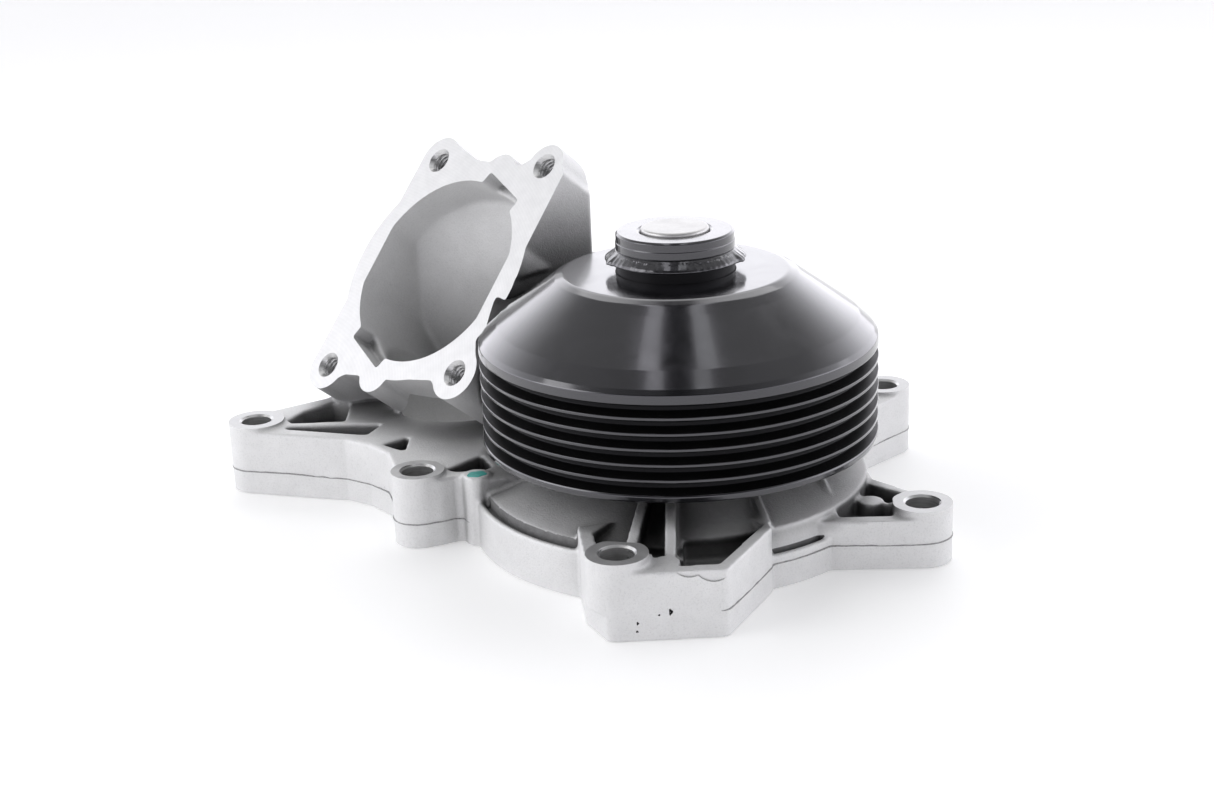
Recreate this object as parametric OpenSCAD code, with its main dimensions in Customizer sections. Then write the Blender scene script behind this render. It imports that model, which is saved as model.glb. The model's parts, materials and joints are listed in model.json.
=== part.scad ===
// Belt-driven coolant pump: cast housing with a tilted thermostat flange, a poly-V pulley on a
// water-pump bearing with an integral shaft, a mechanical face seal and a moulded impeller.
// Millimetres. The origin is on the shaft axis in the plane of the mounting face, +Z towards
// the pulley. All heights below are above that plane.

/* [Pulley] */
// Radius over the belt-rib crests
crest_r = 46.9; // [44:0.1:47]
// Pitch of the belt grooves
rib_pitch = 3.56; // [3.4:0.01:3.6]
// Depth of a belt groove
groove_depth = 2.6; // [2:0.1:3]
// Number of belt grooves
groove_count = 6; // [4:1:6]
// Height of the upper edge of the first groove
groove_top_z = 45.6; // [45:0.1:46]
// Height of the lower edge of the pulley rim
rim_bottom_z = 22.8; // [22:0.1:23.5]
// Wall thickness of the pulley's cone and web
pulley_wall = 3.2; // [2.6:0.1:3.6]

/* [Hub and shaft] */
// Radius of the pressed-on hub
hub_r = 13.9; // [13:0.1:14.5]
// Height of the hub's top face
hub_top_z = 72.2; // [70:0.1:74]
// Radius of the shaft
shaft_r = 7.96; // [7.9:0.01:8]
// How far the shaft end stands out of the hub
shaft_proud = 0.8; // [0.4:0.1:1.4]

/* [Bearing] */
// Outer radius of the bearing's outer ring
bearing_r = 15; // [14.5:0.1:15.5]
// Height of the lower end of the bearing
bearing_bottom_z = 27; // [26.5:0.1:27.5]
// Length of the bearing's outer ring
bearing_len = 30; // [28:0.5:30]
// Radius of a ball
ball_r = 2.778; // [2.7:0.001:2.8]
// Number of balls in a row
ball_count = 9; // [7:1:10]

/* [Housing] */
// Radius of the round pump body at the mounting face
body_r = 50; // [49:0.5:51]
// Height of the mounting bosses
boss_z = 17.5; // [16.5:0.5:18.5]
// Height of the lower boss on the right arm
low_boss_z = 13.5; // [12.5:0.5:14.5]
// Radius of the mounting bolt bores
bolt_r = 3.8; // [3.4:0.1:3.9]
// Radius of the impeller chamber
chamber_r = 38; // [37:0.5:38.5]
// Height of the impeller chamber
chamber_z = 12.5; // [12:0.1:13]

/* [Thermostat flange] */
// Radius of the flange's round opening
port_r = 26; // [24:0.5:26]
// Tilt of the flange face from level
flange_tilt = 51; // [49:1:53]
// Heading of the flange about the shaft axis
flange_turn = -47; // [-49:1:-45]
// Depth of the flange and its bosses behind the face
flange_depth = 9; // [8:0.5:10]

/* [Impeller] */
// Outer radius of the impeller
impeller_r = 34; // [30:0.5:35]
// Number of vanes
vane_count = 7; // [5:1:8]

/* [Hidden] */
$fn = 96;
eps = 0.05;

// Mounting bosses: centre, radius, height of the top face
boss_a = [[-108.9, 31.4], 7.1, boss_z];
boss_b = [[-62.5, -8.1], 6.4, boss_z];
boss_c = [[-14.0, -60.4], 6.8, boss_z];
boss_d = [[54.5, -26.0], 6.9, low_boss_z];
boss_e = [[53.2, 46.6], 7.0, boss_z];
boss_f = [[-14.0, 59.0], 6.9, boss_z];
bosses = [boss_a, boss_b, boss_c, boss_d, boss_e, boss_f];
bolt_chamfer = 0.5;

arm_z = boss_z - 0.9;
low_arm_z = low_boss_z - 1.8;
block_z = boss_z - 2.2;
pocket_floor = 4.5;
parting_z = 5.8;

// Round body: wall, stepped rim, hollow flank and bearing boss
rim_z = 11.2;
groove_r = [47.3, 48.6];
flank_foot_z = 12.6;
flank_top_z = 28;
flank_r = 60;
flank_centre = [61.95, 70.85];
right_body_r = 46.6;
right_wall_r = 44.5;
right_rim_z = 8;
boss_r = 20.6;
bearing_top_z = bearing_bottom_z + bearing_len;
drain_r = 13.2;
drain_bottom_z = 24;
seal_bore_r = 18.25;
weep_r = 1.3;
weep_z = 25.5;
weep_turn = 212;

// Thermostat flange frame: local X level, local Y up the slope, local Z out of the face
flange_at = [-62, 43.5, 52.7];
screw_points = [[-20.0, 29.3], [20.7, 33.7], [-21.6, -32.6], [26.5, -23.7]];
screw_boss_r = [6.9, 6.1, 6.8, 7.1];
screw_r = 2.5;
screw_depth = 13;
screw_sink_r = 3.5;
flat_x = 24.4;
tab_turn = 69;
tab_reach = 28.2;
tab_w = 16.4;
tab_depth = 6;
duct_at = 6;
duct_r = 18.5;

// Gaskets in the mounting face
chamber_gasket_r = 43.2;
port_gasket_r = duct_r + 4;
gasket_w = 2.6;
gasket_h = 2;
groove_play = 0.1;

// Pulley profile: rim land, two slopes of the cone and the flat web round the hub
rim_shoulder = [crest_r - 0.1, 47.8];
cone_low = [42.5, 51.65];
cone_high = [30.5, 60.3];
web_z = 62.8;
web_r = 26;
rim_wall = 3.7;

// Clearance cut for the pulley: radius and height of each step
room_clear = 2.8;
room_bottom_z = 20.9;
room_steps = [[crest_r, 50.5], [cone_low.x, 55], [36, 60], [cone_high.x, 67]];

// Bearing internals
ball_ring_r = 10;
race_r = ball_r + 0.05;
lower_row_z = bearing_bottom_z + 7.5;
upper_row_z = bearing_top_z - 7.5;
land_r = 11.9;
cage_w = 6.6;
cage_in = 8.5;
cage_out = 11.4;
shield_t = 1.2;
shield_inset = 0.5;
shield_seat_r = 12.7;

// Shaft and rotor
shaft_bottom_z = 1.6;
hub_bottom_z = 58.6;
impeller_bottom_z = 2;
impeller_top_z = 11.2;
shroud_t = 2;
insert_r = 10.5;
hub_out_r = 13.5;
vane_root_r = 13;
vane_t = 1.9;
vane_sweep = 62;
vane_steps = 10;
balance_at = 17.5;

// Face seal
cup_wall = 1;
cup_flange_r = 20.2;
cup_eye_r = 9.4;
cup_top_z = 23.8;
seat_bottom_z = impeller_top_z;
seat_top_z = 16.4;
seat_r = 13.2;
seat_in = 8.7;
boot_t = 1.6;
carbon_r = 12;
carbon_in = 8.9;
carbon_bottom_z = seat_top_z + 0.05;
carbon_top_z = 19.8;
carbon_float = 0.9;
bellows_t = 1.2;
bellows_lip = 0.7;
spring_seat_r = 16.2;
spring_seat_z = 17.2;
spring_r = 14.9;
spring_wire = 0.5;
spring_turns = 3;
spring_sides = 8;
spring_bottom_z = spring_seat_z + bellows_lip + spring_wire;
spring_top_z = cup_top_z - cup_wall - bellows_t - spring_wire;

// ---------- helpers ----------

// A ring with a square section
module ring(outer, inner, height) {
    difference() {
        cylinder(r = outer, h = height);
        translate([0, 0, -1]) cylinder(r = inner, h = height + 2);
    }
}

// Places children in the flange frame, local Z out of the face
module at_flange() {
    translate(flange_at) rotate([flange_tilt, 0, flange_turn]) children();
}

// Places children in plan, local X along the level flange edge, local Y away from the flange
module at_flange_plan() {
    translate([flange_at.x, flange_at.y, 0]) rotate([0, 0, flange_turn]) children();
}

// Round column under one mounting boss
module boss_column(boss) {
    translate([boss[0].x, boss[0].y, 0]) cylinder(r = boss[1], h = boss[2]);
}

// Bolt bore with a light chamfer at the top
module bolt_bore(boss) {
    translate([boss[0].x, boss[0].y, -1]) cylinder(r = bolt_r, h = boss[2] + 2);
    translate([boss[0].x, boss[0].y, boss[2] - bolt_chamfer])
        cylinder(r1 = bolt_r, r2 = bolt_r + 2 * bolt_chamfer, h = 2 * bolt_chamfer);
}

// ---------- housing ----------

// Round pump body with the bearing boss, before its bores are cut
module body_shell() {
    difference() {
        union() {
            cylinder(r = body_r, h = rim_z - 1);
            ring(body_r, groove_r[1], rim_z);
            cylinder(r = groove_r[0], h = flank_foot_z);
            difference() {
                cylinder(r = groove_r[0], h = flank_top_z);
                rotate_extrude() translate(flank_centre) circle(r = flank_r);
            }
        }
        // the right half is drawn in, so that the wall follows the impeller's outlet
        translate([0, -body_r - 1, -1]) intersection() {
            cube([body_r + 1, 2 * body_r + 2, boss_z]);
            translate([0, body_r + 1, 0]) union() {
                ring(body_r + 5, right_body_r, boss_z);
                translate([0, 0, right_rim_z + 1]) ring(body_r + 5, right_wall_r, boss_z);
            }
        }
    }
    rotate_extrude() polygon([
        [0, 0], [boss_r, 0], [boss_r, bearing_top_z - 1.5],
        [boss_r - 1, bearing_top_z - 0.5], [0, bearing_top_z - 0.5]
    ]);
}

// Left arm, carrying bosses A and B, and the foot of the thermostat duct
module left_plate() {
    linear_extrude(arm_z) polygon([
        [-110.7, 24.55], [-84, 17.6], [-77.5, 13.4], [-72, 7], [-69.2, -2], [-68.7, -9.5],
        [-60, -13.9], [-56.6, -12.4], [-53.4, -10.6], [-50, -10.4], [-47.5, -13.5],
        [-30, -10], [-20, 20], [-20, 44], [-24, 52], [-45, 73], [-50, 77], [-56, 78],
        [-88, 60], [-94, 50.5], [-111.5, 38.0]
    ]);
    translate([-48.2, -10.6, 0]) cylinder(r = 3.3, h = arm_z + 0.5);
}

// Weight-saving pockets in the top of the left arm
module left_pockets() {
    translate([0, 0, pocket_floor]) linear_extrude(20) {
        polygon([[-101.2, 33.2], [-99.4, 30.8], [-86.2, 31.4], [-86.6, 44.6], [-91.3, 46.0], [-98, 40.2]]);
        polygon([[-100.4, 26.4], [-79, 20.6], [-76.2, 28.4], [-84, 28.6], [-100.4, 28.2]]);
        polygon([[-73.6, 13.2], [-67.6, 8.0], [-67.8, 18.4]]);
        polygon([[-55.6, -5.4], [-53.4, -7.2], [-47, -6.6], [-45.2, -4.4], [-48.3, 3.6]]);
    }
}

// Front block, a deep rectangular pocket around boss C
module front_block() {
    linear_extrude(block_z) polygon([
        [-23.4, -40], [-20.8, -60.4], [-14, -67.1], [8.2, -65.8], [9.4, -65], [19.6, -43.4], [16, -30]
    ]);
}

// Flat under the parting line at the block's left corner
module corner_flat() {
    translate([-20.9, -58.1, -1]) rotate(-62.4) translate([-5, -10, 0]) cube([20, 10, parting_z + 1]);
}

module front_pocket() {
    translate([0, 0, pocket_floor]) linear_extrude(20) polygon([
        [-19.6, -44], [-18.2, -53.8], [-6.6, -56], [-5.6, -63.2], [7.6, -62.1], [17.6, -41.4], [13.6, -36], [-14, -36]
    ]);
}

// Upright rib whose top edge runs from height z0 at foot to height z1 at head
module rib(foot, head, z0, z1, width) {
    run = head - foot;
    translate([foot.x, foot.y, 0]) rotate([90, 0, atan2(run.y, run.x)])
        translate([0, 0, -width / 2]) linear_extrude(width)
            polygon([[0, 0], [norm(run), 0], [norm(run), z1], [0, z0]]);
}

// Ribs and ejector pad of the front block
module front_ribs() {
    translate([-3.7, -60.4, 0]) cylinder(r = 3.1, h = block_z);
    rib([-2.9, -60], [-2.2, -24], block_z - 1, 25, 2.4);
    rib([-12, -55], [-5.6, -22], block_z - 1, 25, 2.4);
    rib([18.8, -40.4], [13.6, -20], block_z, 22, 1.8);
}

// Right arm with the low boss D
module right_arm() {
    linear_extrude(low_arm_z) polygon([
        [28, -32.8], [54.5, -32.9], [59.6, -21.4], [40.6, -1.4], [20, 0], [10, -30]
    ]);
}

module right_pocket() {
    translate([0, 0, pocket_floor]) linear_extrude(20) polygon([
        [38, -4.8], [51, -16], [48.2, -21], [47.6, -29.4], [34.6, -29.4], [35.2, -13]
    ]);
}

// Thin rib that parts the right pocket, and the ejector pad on it
module right_ribs() {
    translate([43.4, -19.9, 0]) cylinder(r = 3.1, h = low_arm_z);
    rib([40.4, -18.4], [35.6, -4], low_arm_z - 0.2, low_arm_z + 3, 1.2);
    rib([43.4, -19.9], [40.2, -18], low_arm_z - 0.2, low_arm_z - 0.2, 1.2);
    rib([43.4, -19.9], [48.6, -22.2], low_arm_z - 0.2, low_arm_z - 0.2, 1.2);
    rib([34.6, -30], [31, -12], low_arm_z, 20, 1.6);
}

// Back arm with boss E
module back_arm() {
    linear_extrude(arm_z) polygon([
        [58.4, 41.9], [43.6, 26.0], [20, 10], [10, 35], [24, 44.5], [48.8, 52.0]
    ]);
}

module back_pocket() {
    translate([0, 0, pocket_floor]) linear_extrude(20) polygon([
        [47.0, 40.8], [41.0, 34.0], [35.6, 39.6], [46.0, 45.2]
    ]);
}

// Rear lug with boss F
module rear_lug() {
    linear_extrude(arm_z) polygon([
        [-22, 40], [-22, 57], [-14, 65.9], [-7.1, 59], [2, 48.5], [0, 30]
    ]);
}

// Outline of the thermostat flange in its own plane
module flange_outline() {
    circle(r = 31.2);
    polygon([
        [-26.8, 30], [-20, 36], [-5, 31.6], [12, 32.6], [20.7, 39.6], [28.9, 33], [28.9, -2.5],
        [26.4, -12], [32, -20], [26.5, -30.6], [19.5, -27.4], [10, -29.4], [-13, -33.4],
        [-21.6, -39.2], [-28.3, -33]
    ]);
    translate([5.4, 28.9]) circle(r = 5.9);
    translate([-2.2, -30.6]) circle(r = 5.2);
    for (i = [0 : 3]) translate(screw_points[i]) circle(r = screw_boss_r[i]);
}

// Vertical shell of the thermostat duct, under the whole flange
module duct_shell() {
    intersection() {
        at_flange() translate([0, 0, -120]) linear_extrude(120) flange_outline();
        at_flange_plan() linear_extrude(100) hull() {
            translate([-23, 23.6]) circle(r = 6);
            translate([24.3, 25]) circle(r = 6);
            translate([-60, -60]) square(120 * [1, 0.1]);
        }
    }
}

// Water way: round mouth with two thermostat tab recesses, leading down to the mounting face
module water_way() {
    intersection() {
        at_flange() translate([0, 0, -90]) linear_extrude(91) intersection() {
            circle(r = port_r);
            translate([flat_x - 60, -30]) square([60, 60]);
        }
        at_flange_plan() linear_extrude(110) intersection() {
            translate([0, -6]) circle(r = 31);
            translate([-24.6, -60]) square([49, 120]);
        }
        translate([-150, -50, 16]) cube([200, 200, 100]);
    }
    at_flange_plan() translate([0, duct_at, -1]) cylinder(r = duct_r, h = 34);
    at_flange() for (turn = [tab_turn, tab_turn + 180]) {
        rotate(turn) translate([0, -tab_w / 2, -tab_depth]) cube([tab_reach, tab_w, tab_depth + 1]);
    }
}

// Threaded holes of the thermostat flange
module flange_screws() {
    at_flange() for (p = screw_points) translate([p.x, p.y, 0]) {
        translate([0, 0, -screw_depth]) cylinder(r = screw_r, h = screw_depth + 1);
        translate([0, 0, -1]) cylinder(r1 = screw_r, r2 = screw_sink_r + screw_sink_r - screw_r, h = 2);
    }
}

// Room that the turning pulley needs
module pulley_room() {
    for (step = room_steps) {
        translate([0, 0, room_bottom_z]) cylinder(r = step.x + room_clear, h = step.y - room_bottom_z);
    }
}

// Gasket loop round the chamber; grow widens it into the groove it lies in
module chamber_loop(grow, height) {
    ring(chamber_gasket_r + gasket_w / 2 + grow, chamber_gasket_r - gasket_w / 2 - grow, height);
}

// Gasket loop round the lower end of the water way
module port_loop(grow, height) {
    at_flange_plan() translate([0, duct_at, 0])
        ring(port_gasket_r + gasket_w / 2 + grow, port_gasket_r - gasket_w / 2 - grow, height);
}

module housing() {
    color("gainsboro") difference() {
        union() {
            difference() {
                union() {
                    left_plate();
                    front_block();
                    right_arm();
                    back_arm();
                    rear_lug();
                    for (boss = bosses) boss_column(boss);
                }
                left_pockets();
                front_pocket();
                corner_flat();
                right_pocket();
                back_pocket();
            }
            body_shell();
            front_ribs();
            right_ribs();
            difference() {
                duct_shell();
                pulley_room();
            }
        }
        translate([0, 0, -1]) cylinder(r = chamber_r, h = chamber_z + 1);
        cylinder(r = seal_bore_r, h = drain_bottom_z);
        cylinder(r = drain_r, h = bearing_bottom_z + eps);
        translate([0, 0, bearing_bottom_z]) cylinder(r = bearing_r, h = bearing_len + 10);
        rotate(weep_turn) translate([0, 0, weep_z]) rotate([0, 90, 0]) cylinder(r = weep_r, h = 40);
        water_way();
        flange_screws();
        translate([0, 0, -1]) chamber_loop(groove_play, gasket_h + 1 + groove_play);
        translate([0, 0, -1]) port_loop(groove_play, gasket_h + 1 + groove_play);
        for (boss = bosses) bolt_bore(boss);
    }
}

module chamber_gasket() {
    color("dimgray") chamber_loop(0, gasket_h);
}

module port_gasket() {
    color("dimgray") port_loop(0, gasket_h);
}

// ---------- pulley and hub ----------

// Radius and height of the points along one belt groove, from its upper edge down
function groove(i) = let (top = groove_top_z - i * rib_pitch) [
    [crest_r, top - 0.3],
    [crest_r - groove_depth, top - 0.3 - groove_depth * tan(20)],
    [crest_r - groove_depth, top - rib_pitch + 0.3 + groove_depth * tan(20)],
    [crest_r, top - rib_pitch + 0.3]
];

module pulley() {
    grooves = [for (i = [0 : groove_count - 1]) each groove(i)];
    inner_r = crest_r - rim_wall;
    color([0.06, 0.06, 0.07]) rotate_extrude() polygon(concat(
        [[hub_r, web_z], [web_r, web_z], [web_r + 2.2, web_z - 0.8], cone_high, cone_low],
        [[rim_shoulder.x - 0.9, rim_shoulder.y + 0.6], rim_shoulder - [0, 0.5], [crest_r, groove_top_z + 0.3]],
        grooves,
        [[crest_r + 0.2, rim_bottom_z + 1.4], [crest_r, rim_bottom_z], [inner_r, rim_bottom_z]],
        [[inner_r, groove_top_z], cone_low - [pulley_wall * 0.7, pulley_wall]],
        [cone_high - [pulley_wall * 0.6, pulley_wall], [web_r - 0.6, web_z - pulley_wall]],
        [[hub_r, web_z - pulley_wall]]
    ));
}

module pulley_hub() {
    color([0.08, 0.08, 0.09]) rotate_extrude() polygon([
        [shaft_r, hub_bottom_z], [hub_r, hub_bottom_z], [hub_r, hub_top_z - 0.5],
        [hub_r - 0.5, hub_top_z], [shaft_r + 0.7, hub_top_z], [shaft_r, hub_top_z - 0.7]
    ]);
}

// Metal pushed up around the hub where the pulley is joined to it
module hub_weld_collar() {
    color([0.12, 0.12, 0.13]) rotate_extrude() polygon([
        [hub_r, 68.2], [hub_r + 0.5, 67.6], [hub_r + 1.9, 66.4], [hub_r + 3.1, 65.7],
        [hub_r + 2.9, 65.3], [hub_r, 65.0]
    ]);
}

// ---------- shaft and bearing ----------

// Ring-shaped ball race
module race(height) {
    translate([0, 0, height]) rotate_extrude() translate([ball_ring_r, 0]) circle(r = race_r);
}

module pump_shaft() {
    color("lightsteelblue") difference() {
        rotate_extrude() polygon([
            [0, shaft_bottom_z], [shaft_r - 0.6, shaft_bottom_z], [shaft_r, shaft_bottom_z + 0.6],
            [shaft_r, hub_top_z + shaft_proud - 0.6], [shaft_r - 0.6, hub_top_z + shaft_proud],
            [0, hub_top_z + shaft_proud]
        ]);
        race(lower_row_z);
        race(upper_row_z);
    }
}

module bearing_outer_ring() {
    color("silver") difference() {
        translate([0, 0, bearing_bottom_z]) ring(bearing_r, land_r, bearing_len);
        race(lower_row_z);
        race(upper_row_z);
        translate([0, 0, bearing_bottom_z - 1]) cylinder(r = shield_seat_r, h = shield_inset + shield_t + 1);
        translate([0, 0, bearing_top_z - shield_inset - shield_t]) cylinder(r = shield_seat_r, h = 5);
    }
}

module ball_row(height) {
    for (i = [0 : ball_count - 1]) {
        rotate(i * 360 / ball_count) translate([ball_ring_r, 0, height]) sphere(r = ball_r, $fn = 48);
    }
}

module ball_cage(height) {
    difference() {
        translate([0, 0, height - cage_w / 2]) ring(cage_out, cage_in, cage_w);
        for (i = [0 : ball_count - 1]) {
            rotate(i * 360 / ball_count) translate([ball_ring_r, 0, height])
                sphere(r = ball_r + 0.12, $fn = 48);
        }
    }
}

module upper_bearing_balls() {
    color("silver") ball_row(upper_row_z);
}

module upper_ball_cage() {
    color("saddlebrown") ball_cage(upper_row_z);
}

module lower_bearing_balls() {
    color("silver") ball_row(lower_row_z);
}

module lower_ball_cage() {
    color("saddlebrown") ball_cage(lower_row_z);
}

// Rubber-faced shield that closes one end of the bearing
module bearing_shield(height) {
    translate([0, 0, height]) ring(shield_seat_r, shaft_r + 0.08, shield_t);
}

module upper_bearing_shield() {
    color("black") bearing_shield(bearing_top_z - shield_inset - shield_t);
}

module lower_bearing_shield() {
    color("black") bearing_shield(bearing_bottom_z + shield_inset);
}

// Ring on the shaft that throws leaked coolant into the drain chamber
module shaft_slinger() {
    color("dimgray") rotate_extrude() polygon([
        [shaft_r, 24.3], [11.6, 24.3], [11.6, 24.9], [9.2, 25.3], [9.2, 26.7], [shaft_r, 26.7]
    ]);
}

// ---------- face seal ----------

module seal_cup() {
    inner = seal_bore_r - cup_wall;
    color("goldenrod") rotate_extrude() polygon([
        [cup_flange_r, chamber_z], [cup_flange_r, chamber_z - cup_wall], [inner, chamber_z - cup_wall],
        [inner, cup_top_z - cup_wall], [cup_eye_r, cup_top_z - cup_wall], [cup_eye_r, cup_top_z],
        [seal_bore_r, cup_top_z], [seal_bore_r, chamber_z]
    ]);
}

// Rubber bellows: top flange in the cup, sleeve round the carbon ring and seat for the spring
module seal_bellows() {
    roof = cup_top_z - cup_wall;
    sleeve = carbon_r + 0.15;
    color([0.1, 0.1, 0.1]) rotate_extrude() polygon([
        [cup_eye_r, roof], [spring_seat_r + 0.8, roof], [spring_seat_r + 0.8, roof - bellows_t],
        [sleeve + bellows_t, roof - bellows_t], [sleeve + bellows_t, spring_seat_z + bellows_lip],
        [spring_seat_r, spring_seat_z + bellows_lip], [spring_seat_r, spring_seat_z],
        [sleeve, spring_seat_z], [sleeve, carbon_top_z + carbon_float],
        [cup_eye_r, carbon_top_z + carbon_float]
    ]);
}

// Points of one ring of the spring wire at angle a
function spring_ring(a) = let (
    z = spring_bottom_z + (spring_top_z - spring_bottom_z) * a / (360 * spring_turns)
) [for (k = [0 : spring_sides - 1]) let (
    b = 360 * k / spring_sides,
    r = spring_r + spring_wire * cos(b)
) [r * cos(a), r * sin(a), z + spring_wire * sin(b)]];

module seal_spring() {
    steps = spring_turns * 28;
    points = [for (i = [0 : steps]) each spring_ring(360 * spring_turns * i / steps)];
    walls = [for (i = [0 : steps - 1], k = [0 : spring_sides - 1]) let (
        next = (k + 1) % spring_sides,
        low = i * spring_sides,
        high = low + spring_sides
    ) [low + k, high + k, high + next, low + next]];
    first = [for (k = [0 : spring_sides - 1]) k];
    last = [for (k = [spring_sides - 1 : -1 : 0]) steps * spring_sides + k];
    color("silver") polyhedron(points, concat([first], walls, [last]), convexity = 8);
}

module seal_carbon_ring() {
    color([0.2, 0.2, 0.22]) translate([0, 0, carbon_bottom_z])
        ring(carbon_r, carbon_in, carbon_top_z - carbon_bottom_z);
}

module seal_seat_ring() {
    color("dimgray") rotate_extrude() polygon([
        [seat_in, seat_bottom_z + boot_t], [seat_r, seat_bottom_z + boot_t], [seat_r, seat_top_z - 0.4],
        [seat_r - 0.4, seat_top_z], [seat_in, seat_top_z]
    ]);
}

module seal_seat_boot() {
    color([0.1, 0.1, 0.1]) rotate_extrude() polygon([
        [shaft_r, seat_bottom_z], [seat_r, seat_bottom_z], [seat_r, seat_bottom_z + boot_t],
        [seat_in, seat_bottom_z + boot_t], [seat_in, seat_top_z - 0.6], [shaft_r, seat_top_z - 0.6]
    ]);
}

// ---------- impeller ----------

// Angle that a vane's middle line has swept at radius r
function vane_turn(r) = -vane_sweep * pow((r - vane_root_r) / (impeller_r - vane_root_r), 0.85);

// One side of a vane, from the hub outwards; side is 1 or -1
function vane_side(side) = [for (i = [0 : vane_steps]) let (
    r = vane_root_r + (impeller_r - vane_root_r) * i / vane_steps,
    a = vane_turn(r) + side * (vane_t / 2) / r * 180 / PI
) [r * cos(a), r * sin(a)]];

module vane() {
    inner = vane_side(1);
    outer = vane_side(-1);
    polygon(concat(inner, [for (i = [vane_steps : -1 : 0]) outer[i]]));
}

module impeller() {
    color("saddlebrown") difference() {
        union() {
            rotate_extrude() polygon([
                [insert_r, impeller_bottom_z], [hub_out_r - 1, impeller_bottom_z],
                [hub_out_r, impeller_bottom_z + 1], [hub_out_r, impeller_top_z - shroud_t],
                [impeller_r, impeller_top_z - shroud_t], [impeller_r, impeller_top_z],
                [insert_r, impeller_top_z]
            ]);
            translate([0, 0, impeller_bottom_z + 0.6]) for (i = [0 : vane_count - 1]) {
                rotate(i * 360 / vane_count)
                    linear_extrude(impeller_top_z - shroud_t - impeller_bottom_z - 0.5) vane();
            }
        }
        for (i = [0 : 2]) rotate(120 * i + 24) translate([balance_at, 0, 0]) cylinder(r = 1.6, h = 20);
    }
}

module impeller_insert() {
    color("darkgoldenrod") translate([0, 0, impeller_bottom_z])
        ring(insert_r, shaft_r, impeller_top_z - impeller_bottom_z);
}

// ---------- drawing ----------

housing();
chamber_gasket();
port_gasket();
pulley();
pulley_hub();
hub_weld_collar();
pump_shaft();
bearing_outer_ring();
upper_bearing_balls();
upper_ball_cage();
lower_bearing_balls();
lower_ball_cage();
upper_bearing_shield();
lower_bearing_shield();
shaft_slinger();
seal_cup();
seal_bellows();
seal_spring();
seal_carbon_ring();
seal_seat_ring();
seal_seat_boot();
impeller();
impeller_insert();
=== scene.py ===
"""Looks for the belt-driven water pump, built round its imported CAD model. Lengths are millimetres
in the values below and metres in Blender; the origin is on the shaft axis in the engine-face plane."""

import json
import math

import bmesh
import bpy
import numpy as np
from mathutils import Matrix, Vector


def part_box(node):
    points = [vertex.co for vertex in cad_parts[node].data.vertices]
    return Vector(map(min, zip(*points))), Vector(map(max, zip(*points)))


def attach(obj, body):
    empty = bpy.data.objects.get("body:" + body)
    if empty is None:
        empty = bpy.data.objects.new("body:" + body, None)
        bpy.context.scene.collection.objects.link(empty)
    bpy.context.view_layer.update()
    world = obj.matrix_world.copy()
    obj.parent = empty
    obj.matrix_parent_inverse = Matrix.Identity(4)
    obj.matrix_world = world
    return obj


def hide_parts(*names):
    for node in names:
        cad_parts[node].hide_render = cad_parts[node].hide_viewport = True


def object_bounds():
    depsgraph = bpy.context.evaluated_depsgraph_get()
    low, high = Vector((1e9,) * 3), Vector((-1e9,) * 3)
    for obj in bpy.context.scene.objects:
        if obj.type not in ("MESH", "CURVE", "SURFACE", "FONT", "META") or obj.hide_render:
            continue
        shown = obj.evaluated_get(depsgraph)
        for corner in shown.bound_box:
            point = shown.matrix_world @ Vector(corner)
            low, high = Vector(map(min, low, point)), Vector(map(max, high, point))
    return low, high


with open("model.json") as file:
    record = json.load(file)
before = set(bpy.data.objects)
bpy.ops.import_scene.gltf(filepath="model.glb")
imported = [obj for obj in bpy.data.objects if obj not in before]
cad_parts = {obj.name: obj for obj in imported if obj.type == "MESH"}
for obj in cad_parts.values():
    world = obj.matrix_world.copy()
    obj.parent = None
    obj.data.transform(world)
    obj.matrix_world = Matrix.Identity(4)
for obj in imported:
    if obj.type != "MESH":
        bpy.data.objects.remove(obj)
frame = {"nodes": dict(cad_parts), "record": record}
cad_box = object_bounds()

MM = 0.001
TURN = 2 * math.pi
scene = bpy.context.scene
rng = np.random.default_rng(11)
mounts = {m["name"]: m for m in frame["record"]["mounts"]}


# ---------- camera ----------

def make_camera():
    """The camera at the angle of the original picture: a little above level, about half a metre away."""
    lens, place = 57.31, Vector((0.0, -435.3, 179.1)) * MM
    yaw, pitch, roll = (math.radians(a) for a in (-2.266, 18.914, -2.2615))
    ahead = Vector((math.sin(yaw) * math.cos(pitch), math.cos(yaw) * math.cos(pitch), -math.sin(pitch)))
    right = Vector((math.cos(yaw), -math.sin(yaw), 0.0))
    up = right.cross(ahead)
    right_rolled = right * math.cos(roll) + up * math.sin(roll)
    up_rolled = up * math.cos(roll) - right * math.sin(roll)
    data = bpy.data.cameras.new("camera")
    data.lens, data.sensor_width = lens, 36.0
    data.clip_start, data.clip_end = 0.01, 20.0
    camera = bpy.data.objects.new("camera", data)
    turn = Matrix((right_rolled, up_rolled, -ahead)).transposed().to_4x4()
    camera.matrix_world = Matrix.Translation(place) @ turn
    scene.collection.objects.link(camera)
    scene.camera = camera


# ---------- light and floor ----------

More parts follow.
